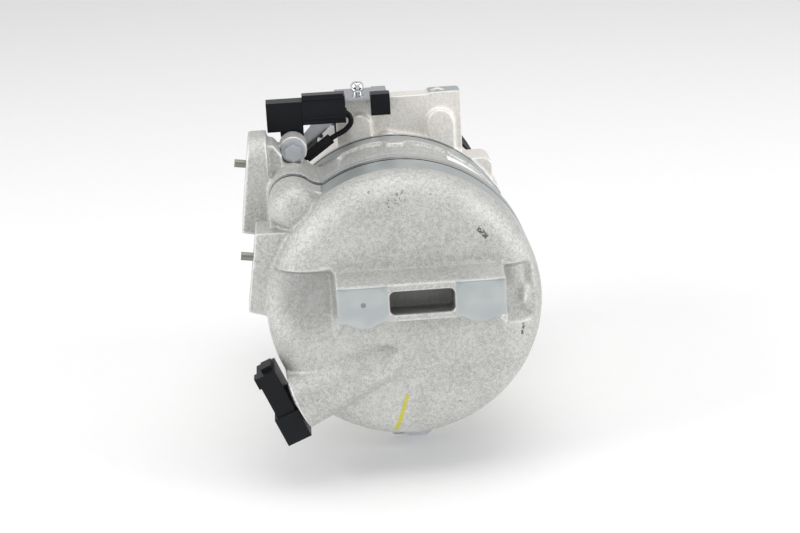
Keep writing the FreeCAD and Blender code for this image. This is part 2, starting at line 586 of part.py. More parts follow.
def piston():
    """Piston above the shaft: round head, and a claw that straddles the swash plate's rim."""
    head = cyl(BORE_R - RUN, BLOCK_REAR + 0.6, SWASH_Y - 13, 0, PITCH_R)
    claw = cyl(BORE_R - RUN, SWASH_Y - 13, SWASH_Y + CLAW_REACH, 0, PITCH_R)
    claw = claw.common(box(-CLAW, CLAW, SWASH_Y - 14, SWASH_Y + 20, CLAW_INNER, PITCH_R + BORE_R))
    open_angle = math.tan(MAX_TILT)
    wedge = Part.makePolygon([vec(0, SWASH_Y - 4.9, 0), vec(20, SWASH_Y - 4.9 - 20 * open_angle, 0),
                              vec(20, SWASH_Y + 4.9 + 20 * open_angle, 0), vec(0, SWASH_Y + 4.9, 0),
                              vec(0, SWASH_Y - 4.9, 0)])
    slot = Part.Face(wedge).revolve(vec(0, 0, 0), vec(0, 1, 0), 360)
    slot.translate(vec(0, 0, PITCH_R))
    slot = slot.common(cyl(PLATE_R + 0.8, SWASH_Y - 20, SWASH_Y + 20))
    whole = fuse([head, claw]).cut(slot).cut(Part.makeSphere(BALL_R, vec(0, SWASH_Y, PITCH_R)))
    groove = ring(BORE_R - 0.8, BORE_R + 1, -131, -129.4, 0, PITCH_R)
    return whole.cut(groove)


def shoes():
    """Two half-ball shoes about one ball centre, flat against the swash plate."""
    ball = Part.makeSphere(BALL_R - RUN, vec(0, SWASH_Y, PITCH_R))
    gap = PLATE_HALF + 0.2
    front = ball.common(cyl(9, SWASH_Y + gap, SWASH_Y + 7.6, 0, PITCH_R))
    rear = ball.common(cyl(9, SWASH_Y - 7.6, SWASH_Y - gap, 0, PITCH_R))
    return [front, rear]


def shaft_seal():
    """Lip seal pressed into the nose."""
    return turned([(SHAFT_R + RUN, -8), (SHAFT_R + RUN, -6), (10.5, -3), (10.5, 0), (14, 0), (14, -9),
                   (12.5, -9), (12.5, -5), (10.5, -8)])


# ---- coil lead -------------------------------------------------------------------------------

LEAD_R = 1.25
SLEEVE_R = 2.5
SLEEVE_BORE = 1.6
LEAD_ROUTE = [
    (-22.5, -92.0, 74.2), (-18.2, -92.0, 72.9), (-16.9, -92.0, 68.6), (-20.2, -92.0, 64.9),
    (-26.8, -92.0, 61.8), (-41.5, -91.5, 51.2), (-50.5, -91.0, 45.5), (-58.5, -85.0, 45.0),
    (-56.0, -77.5, 48.0), (-48.5, -76.0, 49.5), (-40.0, -77.0, 54.0), (-28.0, -76.0, 64.5),
    (-27.5, -62.0, 66.5), (-32.0, -48.0, 60.5), (-36.0, -34.0, 53.5), (-33.5, -23.0, 47.5),
    (-30.0, -17.6, 44.0),
]
SLEEVE_RUN = 4           # the run of the lead that its sleeve covers

# ---- pulley and clutch -----------------------------------------------------------------------

GROOVES = 6
GROOVE_PITCH = 3.56
BEARING_HALF = 10.0


def pulley():
    """Six-groove belt pulley with a bearing hub, front friction face and a rear hollow for the coil."""
    body = turned([(BEARING_R, -11), (31.5, -11), (31.5, 8), (49, 8), (49, -PULLEY_HALF),
                   (PULLEY_R, -PULLEY_HALF), (PULLEY_R, PULLEY_HALF), (34, PULLEY_HALF),
                   (33, PULLEY_HALF - 1), (BEARING_R, PULLEY_HALF - 1)])
    for i in range(GROOVES):
        y = (i - (GROOVES - 1) / 2) * GROOVE_PITCH
        groove = turned([(PULLEY_R + 0.5, y - 1.75), (PULLEY_R + 0.5, y + 1.75),
                         (PULLEY_R - 3, y + 0.35), (PULLEY_R - 3, y - 0.35)])
        body = body.cut(groove)
    slots = []
    for radius, start in ((38.5, 60), (45.0, 0)):
        slots += around(box(-8, 8, 7, 14, radius - 1, radius + 1), 3, start)
    return body.cut(fuse(slots))


def pulley_bearing_outer():
    outer = ring(24.6, BEARING_R, -BEARING_HALF, BEARING_HALF)
    seals = [ring(20.9, 24.6, y, y + 0.8) for y in (-9.4, 8.6)]
    race = Part.makeTorus(22.5, 3.15, vec(0, 0, 0), vec(0, 1, 0))
    return fuse([outer] + seals).cut(race)


def pulley_bearing_inner():
    inner = ring(NOSE_R, 20.4, -BEARING_HALF, BEARING_HALF)
    inner = inner.cut(Part.makeTorus(22.5, 3.1, vec(0, 0, 0), vec(0, 1, 0)))
    balls = around(Part.makeSphere(3.05, vec(0, 0, 22.5)), 14)
    return [inner] + balls


def pulley_snap_ring():
    gap = box(-3, 3, 9, 13, 10, 30)
    return ring(NOSE_R - 0.85, 20.2, NOSE_RING[0] + 0.05, NOSE_RING[1] - 0.05).cut(gap)


COIL_Y = (END_WALL[1], 6.0)


def field_coil():
    """Steel cup of the clutch coil, on the front wall, with a terminal block at the upper left."""
    cup = turned([(NOSE_R + 1.5, -17.4), (NOSE_R + 1.5, COIL_Y[0]), (47.6, COIL_Y[0]), (47.6, COIL_Y[1]),
                  (45.6, COIL_Y[1]), (45.6, -17.4), (34.4, -17.4), (34.4, COIL_Y[1]), (32.4, COIL_Y[1]),
                  (32.4, -17.4)])
    block = box(-33, -24, COIL_Y[0], -14.4, 39, 49)
    entry = rod(vec(*LEAD_ROUTE[-2]), vec(*LEAD_ROUTE[-1]), LEAD_R)
    return fuse([cup, block.cut(cyl(46.5, -25, -10))]).cut(entry)


def coil_winding():
    return ring(34.4, 45.6, -17.4, COIL_Y[1] - 1.2)


ARMATURE_Y = (PULLEY_HALF + 0.45, PULLEY_HALF + 4.2)
HUB_FLANGE = (19.2, 21.6)


def armature_plate():
    plate = ring(31, 53, *ARMATURE_Y)
    slots = around(box(-7, 7, 12, 18, 40.8, 42.6), 6)
    rivets = around(cyl(2.5, 12, 20, 0, 46.5), 3, 100)
    return plate.cut(fuse(slots + rivets))


def armature_rivets():
    """Three rivets that hold the leaf springs' outer ends to the armature plate."""
    rivet = fuse([cyl(2.5, ARMATURE_Y[0] + 0.4, ARMATURE_Y[1] + 1.0, 0, 46.5),
                  cyl(4.2, ARMATURE_Y[1] + 1.0, ARMATURE_Y[1] + 2.2, 0, 46.5)])
    return around(rivet, 3, 100)


def clutch_hub():
    """Splined barrel and three-cornered flange of the clutch's driven side."""
    barrel = cyl(11, 5.0, HUB_FLANGE[1] + 2)
    ear = fuse([cyl(7, *HUB_FLANGE, 0, 22), box(-7, 7, *HUB_FLANGE, 0, 22)])
    hub = fuse([barrel, cyl(17, *HUB_FLANGE)] + around(ear, 3))
    hub = hub.cut(cyl(6.5, 4, 21.5)).cut(cyl(3.2, 20, 25))
    return hub.cut(fuse(around(cyl(2.5, 18, 23, 0, 22), 3)))


def leaf_spring():
    """Flat strip from a hub rivet at the top to an armature rivet further round."""
    y0, y1 = ARMATURE_Y[1] + 0.1, ARMATURE_Y[1] + 0.8
    a = math.radians(100)
    inner = vec(0, y0, 22)
    outer = vec(46.5 * math.sin(a), y0, 46.5 * math.cos(a))
    run = outer.sub(inner)
    side = vec(-run.z, 0, run.x).normalize() * 5.0
    corners = [inner.add(side), outer.add(side), outer.sub(side), inner.sub(side)]
    strip = prism([(p.x, p.z) for p in corners], y0, y1)
    whole = fuse([strip, cyl(5.0, y0, y1, 0, 22), cyl(5.0, y0, y1, outer.x, outer.z)])
    whole = whole.cut(cyl(2.6, y0 - 1, y1 + 1, 0, 22))
    return whole.cut(cyl(2.6, y0 - 1, y1 + 1, outer.x, outer.z))


def hub_springs():
    return around(leaf_spring(), 3)


def hub_rivets():
    """Three rivets through the hub flange, each with a spacer that meets its leaf spring."""
    top = HUB_FLANGE[1]
    rivet = fuse([cyl(2.5, ARMATURE_Y[1] + 0.1, top + 0.2, 0, 22), cyl(4.2, top, top + 1.4, 0, 22),
                  cyl(4.2, ARMATURE_Y[1] + 0.8, HUB_FLANGE[0], 0, 22)])
    return around(rivet, 3)


def hub_bolt():
    face = HUB_FLANGE[1] + 2
    return fuse([cyl(3.0, 8, face), cyl(8.0, face, face + 1.4), hexagon(10, face + 1.4, face + 5.4)])


# ---- coil connector, its bracket and lead ----------------------------------------------------

SHEET = 1.6
SHEET_Z = PLATE_TOP - 1.2


def connector_bracket():
    """Bent sheet on the mount plate: its upright tab holds the connector, its right edge the clip."""
    z = SHEET_Z
    top = box(-24, -5.2, -85, -64, z, z + SHEET)
    tab = box(-6, 1, -72, -62, z, z + SHEET)
    tongue = box(-6, 0.5, -85, -80.5, z, z + SHEET)
    upright = box(-24, -19.6, -86.4, -84.9, z - 8, z + SHEET)
    guard = prism([(-20, 75), (-31, 75), (-35, 68), (-48, 54), (-44.5, 50.5), (-26, 67), (-20, 69)],
                  -85.4, -84.0)
    return fuse([top, tab, tongue, upright, guard]).cut(
        Part.makeCylinder(1.8, 10, vec(SCREW_X, SCREW_Y, z - 5), vec(0, 0, 1)))


def bracket_screw():
    """Pan-head screw with a cross recess."""
    seat = SHEET_Z + SHEET
    shank = Part.makeCylinder(1.7, 11, vec(SCREW_X, SCREW_Y, seat), vec(0, 0, -1))
    shoulder = Part.makeCylinder(2.4, 1.4, vec(SCREW_X, SCREW_Y, seat), vec(0, 0, 1))
    ball = Part.makeSphere(3.3, vec(SCREW_X, SCREW_Y, seat + 2.8))
    head = ball.common(box(SCREW_X - 5, SCREW_X + 5, SCREW_Y - 5, SCREW_Y + 5, seat + 0.9, seat + 5.2))
    screw = fuse([shank, shoulder, head])
    for turn in (20, 110):
        slot = box(-1.9, 1.9, -0.35, 0.35, seat + 3.6, seat + 7)
        slot.rotate(vec(0, 0, 0), vec(0, 0, 1), turn)
        slot.translate(vec(SCREW_X, SCREW_Y, 0))
        screw = screw.cut(slot)
    return screw


CONNECTOR_Y = (-98.0, -86.5)


def connector_housing():
    """Right half of the coil connector: ribbed housing with the lead's seal at its right end."""
    y0, y1 = CONNECTOR_Y
    body = box(-40, -19.8, y0 + 0.8, y1, 69.8, 82.8)
    rail = box(-40, -20.4, y0, y0 + 3, 81.4, 84)
    slip = box(-39, -21.4, y0, y0 + 1, 72.2, 73.6)
    seal = Part.makeCylinder(2.4, 1.1, vec(-20.2, LEAD_ROUTE[0][1], 73.4), vec(1, 0, 0))
    bore = rod(vec(*LEAD_ROUTE[0]), vec(*LEAD_ROUTE[1]), LEAD_R + 0.25)
    return fuse([body, rail, slip, seal]).cut(bore)


def connector_shroud():
    """Left half: slimmer shroud whose socket opens to the left."""
    y0, y1 = CONNECTOR_Y
    body = fuse([box(-57, -40, y0 + 1, y1 - 1, 67.2, 81), box(-51, -40, y0 + 2, y1 - 2, 64.6, 68)])
    return body.cut(box(-58, -43, y0 + 2.6, y1 - 2.6, 69, 79.4))


def cable_clip():
    """Plastic clip pushed over the bracket's right edge and hanging down in front of the plate."""
    z = SHEET_Z
    top = box(-7.4, 1.8, -87.4, -80.0, z + SHEET, z + SHEET + 1.6)
    front = box(-7.4, 1.8, -87.4, -85.0, z - 7, z + SHEET + 1.6)
    return fuse([top, front])


def rounded_route(points):
    """Wire of straight runs joined by tangent arcs, each as wide as its two runs allow."""
    path = [vec(*p) for p in points]
    edges = []
    radii = []
    at = path[0]
    for before, corner, after in zip(path, path[1:], path[2:]):
        into = corner.sub(before)
        out = after.sub(corner)
        cut = 0.45 * min(into.Length, out.Length)
        half_turn = into.getAngle(out) / 2
        radius = cut / math.tan(half_turn)
        into.normalize()
        out.normalize()
        first = corner.sub(into * cut)
        last = corner.add(out * cut)
        inward = out.sub(into).normalize()
        middle = corner.add(inward * (radius / math.cos(half_turn) - radius))
        edges.append(Part.LineSegment(at, first).toShape())
        edges.append(Part.Arc(first, middle, last).toShape())
        radii.append(radius)
        at = last
    edges.append(Part.LineSegment(at, path[-1]).toShape())
    return Part.Wire(edges), radii


def coil_lead():
    """Lead from the connector round its loop and forwards to the coil's terminal block."""
    wire, radii = rounded_route(LEAD_ROUTE)
    print("lead bends", " ".join("%.1f" % r for r in radii))
    start = vec(*LEAD_ROUTE[0])
    section = Part.Wire([Part.makeCircle(LEAD_R, start, vec(*LEAD_ROUTE[1]).sub(start))])
    tube = wire.makePipeShell([section], True, False)
    print("lead length %.1f, volume over section times length %.3f"
          % (wire.Length, tube.Volume / (math.pi * LEAD_R ** 2 * wire.Length)))
    return tube


def lead_sleeve():
    """Fabric sleeve over the middle of the lead's outer run."""
    a = vec(*LEAD_ROUTE[SLEEVE_RUN])
    b = vec(*LEAD_ROUTE[SLEEVE_RUN + 1])
    run = b.sub(a)
    start = a.add(run * 0.04)
    end = b.sub(run * 0.14)
    return rod(start, end, SLEEVE_R).cut(rod(start, end, SLEEVE_BORE))


def repeated(name, shape):
    """Saves one copy per cylinder, each turned to its own bore."""
    for i in range(PISTONS):
        solids = shape if isinstance(shape, list) else [shape]
        save("%s_%d" % (name, i + 1), [spin(solid, 30 + i * 360 / PISTONS) for solid in solids])


def build():
    """Writes one STEP file for each named piece."""
    os.makedirs("parts", exist_ok=True)
    for make in (rear_head, rear_gasket, valve_plate, suction_reed, discharge_reed, reed_retainer,
                 cylinder_block, front_gasket, front_housing, housing_bolts, relief_valve, oil_plug,
                 port_pins, label, control_valve_body, control_valve_orings, control_valve_spool,
                 control_valve_spring, control_valve_ring, control_valve_connector, shaft, lug_plate,
                 thrust_bearing, swash_sleeve, swash_plate, tilt_spring, return_spring, shaft_seal,
                 pulley, pulley_bearing_outer, pulley_bearing_inner, pulley_snap_ring, field_coil,
                 coil_winding, clutch_hub, hub_springs, hub_rivets, hub_bolt, armature_plate,
                 armature_rivets, connector_bracket, bracket_screw, connector_housing,
                 connector_shroud, cable_clip, coil_lead, lead_sleeve):
        save(make.__name__, make())
    save("shaft_bearings", [needle_bearing(-130, -114), needle_bearing(-29, -13)])
    repeated("piston", piston())
    repeated("shoes", shoes())


if __name__ == "__main__":
    build()
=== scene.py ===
# %% [markdown]
# An automotive air-conditioning compressor, seen from its rear head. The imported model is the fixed
# frame: every piece keeps its place and moves with its body. This lesson gives the frame its looks:
# castings with rounded edges and a sand grain, machined bands, plated steel, plastics and a lead.

# %% Load the frame
import math

import bpy
import numpy as np
from mathutils import Matrix, Vector


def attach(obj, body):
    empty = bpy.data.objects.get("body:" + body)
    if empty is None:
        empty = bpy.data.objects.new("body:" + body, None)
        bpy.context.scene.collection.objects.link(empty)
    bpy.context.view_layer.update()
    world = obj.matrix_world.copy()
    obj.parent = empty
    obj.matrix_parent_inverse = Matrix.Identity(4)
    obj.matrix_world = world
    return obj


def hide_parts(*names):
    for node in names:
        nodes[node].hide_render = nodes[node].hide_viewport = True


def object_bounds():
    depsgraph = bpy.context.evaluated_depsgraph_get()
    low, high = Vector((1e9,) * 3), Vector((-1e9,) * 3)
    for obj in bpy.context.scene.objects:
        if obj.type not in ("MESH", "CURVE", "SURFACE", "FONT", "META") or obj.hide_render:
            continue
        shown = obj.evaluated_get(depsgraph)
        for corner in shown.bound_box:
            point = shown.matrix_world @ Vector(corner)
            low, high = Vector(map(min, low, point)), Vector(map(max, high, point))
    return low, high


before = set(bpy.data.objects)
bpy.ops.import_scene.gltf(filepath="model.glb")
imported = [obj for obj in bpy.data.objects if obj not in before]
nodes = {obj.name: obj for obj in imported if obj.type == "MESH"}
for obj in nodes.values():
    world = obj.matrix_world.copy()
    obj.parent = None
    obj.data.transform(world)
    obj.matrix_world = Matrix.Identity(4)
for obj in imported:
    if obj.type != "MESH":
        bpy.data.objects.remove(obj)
cad_box = [list(corner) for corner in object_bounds()]
print("nodes", len(nodes), "box in mm", [[round(1000 * v, 1) for v in c] for c in cad_box])

# %% [markdown]
# Surface finishes are sums and products of a few patterns, so the material maths is written the way
# it is thought: `Signal` wraps one socket, and plus, minus and times add the nodes. A number stays a
# number until it meets a signal.

# %% Material maths as expressions
class Signal:
    """One output of a material's node tree; arithmetic on it adds Math nodes."""

    def __init__(self, finish, socket):
        self.finish = finish
        self.socket = socket

    def math(self, operation, *others):
        values = {i: v for i, v in enumerate((self, *others))}
        return self.finish.node("ShaderNodeMath", {"operation": operation}, values)

    def __add__(self, other):
        return self.math("ADD", other)

    def __radd__(self, other):
        return self.math("ADD", other)

    def __sub__(self, other):
        return self.math("SUBTRACT", other)

    def __rsub__(self, other):
        return (self * -1) + other

    def __mul__(self, other):
        return self.math("MULTIPLY", other)

    def __rmul__(self, other):
        return self.math("MULTIPLY", other)

    def __truediv__(self, other):
        return self.math("DIVIDE", other)

    def __pow__(self, other):
        return self.math("POWER", other)

    def step(self, low, high):
        """0 below low, 1 above high, a smooth ramp between; low may be the larger."""
        values = {"Value": self, "From Min": low, "From Max": high}
        kind = {"interpolation_type": "SMOOTHSTEP"}
        return self.finish.node("ShaderNodeMapRange", kind, values)

    def between(self, low, high, soft):
        """1 from low to high, with ramps of the length soft just inside both ends."""
        return self.step(low, low + soft) * self.step(high, high - soft)


print("Signal operators ready")

# %% [markdown]
# A finish is one principled shader with patterns in front of it. `Finish` makes the shader and hands
# out the patterns that all the finishes share: noise by its size in millimetres, spots and strokes at
# a place on the part, rounded edges and bumps. Places come from Object coordinates, so a pattern
# stays on its piece when the piece moves.

# %% One material under construction
class Finish:
    """A material under construction: one principled shader and the nodes that feed it."""

    def __init__(self, name):
        self.material = bpy.data.materials.new(name)
        self.material.use_nodes = True
        self.tree = self.material.node_tree
        self.shader = next(n for n in self.tree.nodes if n.type == "BSDF_PRINCIPLED")
        place = self.node("ShaderNodeTexCoord", out="Object")
        self.place = place
        split = self.node("ShaderNodeSeparateXYZ", {}, {0: place}, out=None)
        self.x, self.y, self.z = [Signal(self, s) * 1000.0 for s in split.outputs]

    def put(self, socket, value):
        """Links a signal to the socket, or sets the socket's own value."""
        if isinstance(value, Signal):
            self.tree.links.new(value.socket, socket)
        elif isinstance(value, (tuple, list)) and len(value) == 3 and socket.type == "RGBA":
            socket.default_value = (*value, 1.0)
        else:
            socket.default_value = value

    def node(self, kind, settings=None, values=None, out=0):
        """One new node: its settings first, then its sockets; gives the output numbered out."""
        made = self.tree.nodes.new(kind)
        for key, setting in (settings or {}).items():
            setattr(made, key, setting)
        for key, value in (values or {}).items():
            self.put(made.inputs[key], value)
        return made if out is None else Signal(self, made.outputs[out])

    def noise(self, size_mm, detail=3.0, rough=0.55, stretch=None):
        """Smooth noise whose lumps are about size_mm across, 0 to 1."""
        place = self.place
        if stretch:
            place = self.node("ShaderNodeMapping", {}, {"Vector": place, "Scale": stretch})
        values = {"Vector": place, "Scale": 1000.0 / size_mm, "Detail": detail, "Roughness": rough}
        return self.node("ShaderNodeTexNoise", {}, values)

    def mix(self, factor, low, high):
        """Colour low where factor is 0, high where it is 1."""
        values = {0: factor, 6: low, 7: high}
        return self.node("ShaderNodeMix", {"data_type": "RGBA"}, values, out=2)

    def bevel(self, radius_mm, samples=6):
        """A normal that rounds each edge by a radius."""
        values = {"Radius": radius_mm / 1000.0}
        return self.node("ShaderNodeBevel", {"samples": samples}, values)

    def bump(self, height, depth_mm, normal=None, strength=1.0):
        """A normal tilted by a height pattern of a given depth."""
        values = {"Height": height, "Distance": depth_mm / 1000.0, "Strength": strength}
        if normal is not None:
            values["Normal"] = normal
        return self.node("ShaderNodeBump", {}, values)

    def radius(self):
        """Distance from the shaft axis, in millimetres."""
        return (self.x * self.x + self.z * self.z) ** 0.5

    def spot(self, x, z, radius, soft):
        """1 inside a round spot on a face that looks along the shaft."""
        dx = self.x - x
        dz = self.z - z
        return ((dx * dx + dz * dz) ** 0.5).step(radius + soft, radius)

    def stroke(self, start, end, half_width, soft, wobble=0.0):
        """1 on a short straight mark between two (x, z) points."""
        run = (end[0] - start[0], end[1] - start[1])
        length = math.hypot(*run)
        along = ((self.x - start[0]) * run[0] + (self.z - start[1]) * run[1]) / length
        across = ((self.x - start[0]) * -run[1] + (self.z - start[1]) * run[0]) / length
        if wobble:
            across = across + (self.noise(3.0) - 0.5) * wobble
        inside = across.math("ABSOLUTE").step(half_width + soft, half_width)
        return inside * along.step(-soft, 0.0) * along.step(length + soft, length)

    def done(self, color, rough, metal, normal):
        """Feeds the shader and gives the finished material."""
        values = {"Base Color": color, "Roughness": rough, "Metallic": metal, "Normal": normal}
        for name, value in values.items():
            self.put(self.shader.inputs[name], value)
        return self.material


print("Finish patterns ready")

# %% [markdown]
# Sand-cast aluminium is matt and pale, with a grain of about half a millimetre and faint large clouds.
# Its edges are lighter in colour: partly polished by handling, partly a painted highlight. A machined
# band keeps the same metal but is smooth, cooler in colour and shows the tool's fine lines. Two separate
# materials would need the mesh cut along each border. One function makes both instead, and a mask
# chooses between them.

# %% Cast and machined aluminium
CAST_LIGHT = (0.70, 0.70, 0.68)
CAST_DARK = (0.40, 0.40, 0.385)
CAST_DUST = (0.24, 0.235, 0.225)
# lighter edge colour: the polish of handling together with a painted highlight
CAST_WORN_AND_HIGHLIGHT = (0.90, 0.895, 0.88)
# colour of the painted shade in hollows and on faces the light misses
CAST_PAINTED_SHADE = (0.20, 0.205, 0.20)
CAST_METALLIC = 0.62
SAND_DEPTH = 0.30            # millimetres
MILLED = (0.53, 0.56, 0.55)
MILLED_DARK = (0.41, 0.445, 0.46)
# soil colour, used for real soil and scuffs and also for the pocket's painted shade
SOIL_AND_SHADE = (0.10, 0.10, 0.095)
YELLOW = (0.62, 0.58, 0.03)


def casting(name, milled=None, marks_and_shade=None, paint=None, shade=None, tint=(CAST_DARK, CAST_LIGHT), grain=1.0):
    """Cast finish; milled, marks, paint and shade are masks of 0 to 1, as functions of the finish. Shade is
    painted shade; marks hold scuffs and soil, and may hold painted shade too.
    """
    f = Finish(name)
    fine = f.noise(0.55, 4.0, 0.65)
    lumps = f.noise(1.6, 2.0, 0.5)
    cloud = f.noise(22.0, 3.0, 0.6)
    dust = f.noise(0.28, 1.0, 0.5).step(0.60, 0.78) * 0.5
    tone = (fine - 0.5) * 2.1 + (lumps - 0.5) * 0.9 + (cloud - 0.5) * 0.7 + 0.56
    color = f.mix(tone.step(0.0, 1.0), *tint)
    color = f.mix(dust, color, CAST_DUST)
    # edges lighter by pointiness: partly wear, partly a painted highlight
    worn_and_highlit = f.node("ShaderNodeNewGeometry", out="Pointiness").step(0.51, 0.55)
    color = f.mix(worn_and_highlit * 0.65, color, CAST_WORN_AND_HIGHLIGHT)
    rough = 0.56 - worn_and_highlit * 0.14 + (fine - 0.5) * 0.18
    height = fine * 0.6 + lumps * 0.4
    # painted shade: the shade mask darkens the colour towards the painted shade colour
    if shade:
        color = f.mix(shade(f) * 0.55, color, CAST_PAINTED_SHADE)
    if milled:
        mask = milled(f)
        tool = f.noise(0.5, 2.0, 0.5, stretch=(1.0, 12.0, 1.0))
        sweep = f.noise(16.0, 2.0, 0.4, stretch=(1.0, 1.0, 1.8)).step(0.35, 0.65)
        bright = f.mix(tool * 0.5 + sweep * 0.5, MILLED_DARK, MILLED)
        color = f.mix(mask, color, bright)
        rough = rough * (1 - mask) + (0.34 + (tool - 0.5) * 0.12) * mask
        height = height * (1 - mask * 0.94)
    # scuffs, soil and pits, and on the rear head the pocket's painted shade, all in the soil colour
    if marks_and_shade:
        color = f.mix(marks_and_shade(f), color, SOIL_AND_SHADE)
    if paint:
        color = f.mix(paint(f), color, YELLOW)
    normal = f.bump(height, SAND_DEPTH * grain, strength=0.8)
    return f.done(color, rough, CAST_METALLIC, normal)


print("casting goes from", CAST_DARK, "to", CAST_LIGHT, "and is milled to", MILLED)

# %% [markdown]
# The rear head's masks say where its skin differs. The joint's rim was turned on a lathe and the two
# pads of the rear beam were milled flat, so both are smooth. Each mask is a product of soft ramps
# along the axes, which is exact and needs no painted image.

# %% Machined places of the rear head
BODY_R = 62.0                # outer radius of the rear head
BEAM_X = (-31.0, 43.0)       # ends of the rear beam
BEAM_REAR = -187.0           # its rear face, where the two pads are
PADS_MIDDLE, PADS_APART = 6.2, 14.6    # centre between the two pads, and where each one starts
POCKET_X = (-8.0, 20.5)      # blind pocket between the pads
POCKET_Z = (3.6, 14.6)
HEAD_FACE = -175.0           # flat of the dome


def head_milled(f):
    """The turned band next to the joint, and the faces of the rear beam beside its pocket."""
    band = f.y.step(-157.2, -156.4) * f.radius().between(BODY_R - 1.0, BODY_R + 0.9, 0.3)
    beam = f.y.step(BEAM_REAR + 0.7, BEAM_REAR + 0.4)
    sides = (f.x - PADS_MIDDLE).math("ABSOLUTE").step(PADS_APART, PADS_APART + 0.5)
    return band + beam * sides


print("beam from x", BEAM_X[0], "to", BEAM_X[1], "mm")

# %% [markdown]
# A casting that has been handled isn't clean: one pad keeps the pip of the machine's centre, and
# there are two scuffs, some soil and a few pits. The pocket's dark inside is painted shade in the soil
# colour. Each mark is a stroke or a spot broken up by noise, so that its edge is ragged.

# %% Marks of handling, painted shade in the pocket, and an inspector's paint
def head_marks_and_shade(f):
    """Painted shade in the pocket, the centre mark of one pad, scuffs, soil and pits."""
    # painted shade: the pocket's dark inside is shade, painted in the soil colour
    pocket = f.x.step(POCKET_X[0] - 0.6, POCKET_X[0] + 0.4) * f.x.step(POCKET_X[1] + 0.5, POCKET_X[1] - 0.4)
    pocket = pocket * f.z.between(POCKET_Z[0] - 0.6, POCKET_Z[1] + 0.6, 1.2)
    pocket = pocket * f.y.step(BEAM_REAR + 0.8, BEAM_REAR + 2.5) * f.y.step(HEAD_FACE + 0.4, HEAD_FACE - 0.6)
    speck = f.noise(0.9, 2.0).step(0.40, 0.52)
    rear = f.y.step(-150.0, -153.0)
    high_scuff = f.stroke((33.0, 37.2), (36.6, 33.0), 0.9, 0.5, 1.2)
    side_scuff = f.stroke((51.7, -8.6), (51.0, -13.8), 0.45, 0.3, 0.5)
    centre = f.spot(-19.6, 9.6, 0.9, 0.5) * f.y.step(BEAM_REAR + 0.5, BEAM_REAR + 0.2)
    soil = f.stroke((-6.4, 50.0), (1.0, 53.8), 1.6, 1.6, 2.0) * f.noise(1.1).step(0.55, 0.62) * 0.7
    pits = f.noise(4.0, 1.0).step(0.74, 0.78) * f.noise(0.8, 1.0).step(0.5, 0.6) * 0.6
    scuffs = (high_scuff + side_scuff) * speck
    return pocket * 0.75 + centre * 0.6 + (scuffs * 0.9 + soil + pits) * rear


def head_paint(f):
    """An inspector's dab of yellow paint low on the dome, dry at its edges."""
    dry = f.noise(1.2, 3.0).step(0.30, 0.48)
    dab = f.stroke((-1.7, -38.4), (-7.6, -56.5), 0.75, 0.35, 0.8)
    return dab * dry * f.y.step(-150.0, -155.0) * 0.9


# the soil colour is also the colour of the pocket's painted shade
print("soil colour", SOIL_AND_SHADE, "paint colour", YELLOW)

# %% [markdown]
# Deep corners of a casting lie in shade. The slanted face above the pads, the hollows past the beam's
# two ends and the strip under the beam get painted shade: a mask darkens their colour, which gives this
# shade in every light, where soft light alone would leave it out.

# %% Painted shade on the rear head
def head_painted_shade(f):
    """Painted shade on the slanted upper face of the beam, the hollows past its two ends, and the strip
    below it.
    """
    # painted shade on the slanted face, the hollows past the beam's ends and the strip below the beam
    slope = f.z.step(17.8, 18.4) * f.z.step(22.6, 21.8) * f.y.step(HEAD_FACE + 0.4, HEAD_FACE - 0.4)
    slope = slope * f.x.between(BEAM_X[0] + 0.2, BEAM_X[1] + 0.2, 1.0)
    left = f.x.step(-62.0, -50.0) * f.x.step(BEAM_X[0] + 0.4, BEAM_X[0] - 0.6)
    left = left * f.z.step(-8.0, 8.0) * f.z.step(23.5, 20.5)
    right = f.x.step(BEAM_X[1], BEAM_X[1] + 0.8) * f.x.step(50.0, 45.0)
    right = right * f.z.step(6.0, 14.0) * f.z.step(21.0, 18.5)
    under = f.z.step(-12.0, 0.0) * f.z.step(1.2, 0.6) * f.x.step(-34.0, -28.0) * f.x.step(46.0, 36.0)
    rear = f.y.step(-160.0, -168.0)
    return slope * 0.45 + (left * 0.6 + right * 0.8 + under * 0.25) * rear


# the rear head's masks: marks with the pocket's painted shade, the paint, and painted shade
HEAD = casting("cast rear head", head_milled, head_marks_and_shade, head_paint, head_painted_shade)
print(HEAD.name, "has", len(HEAD.node_tree.nodes), "nodes")

# %% [markdown]
# The block's two joint edges are turned. The front housing is a die casting: warmer, brighter and
# finer in grain than the sand castings, with a milled strip on top of its mount plate, a turned joint
# edge and a turned bearing nose.

# %% The block's and the front housing's castings
WARM = ((0.74, 0.715, 0.67), (0.95, 0.925, 0.885))


def block_milled(f):
    """Front flange edge and the joint's turned edge on the cylinder block."""
    r = f.radius()
    front_edge = f.y.step(-95.2, -94.6) * r.step(59.0, 59.3)
    rear_edge = f.y.step(-132.0, -132.6) * r.step(61.0, 61.4) * r.step(62.9, 62.6)
    return front_edge + rear_edge * 0.6


def front_milled(f):
    """Top strip of the mount plate, the joint edge and the bearing nose."""
    top = f.z.step(77.4, 77.9)
    r = f.radius()
    edge = f.y.step(-83.0, -83.5) * r.step(59.0, 59.3) * r.step(60.0, 59.8)
    nose = f.y.step(-19.6, -19.2)
    return top + edge + nose


BLOCK = casting("cast cylinder block", block_milled)
FRONT = casting("cast front housing", front_milled, tint=WARM, grain=0.7)
print("castings", BLOCK.name, "and", FRONT.name)

# %% [markdown]
# Zinc plate, chrome, ground steel and painted iron differ in colour and gloss, but all have a cloudy
# tone, a fine grain and edges that catch light. One function makes them all: a cloud for colour, a
# grain for roughness, and a bevel in the normal, which rounds the edges without changing the mesh.

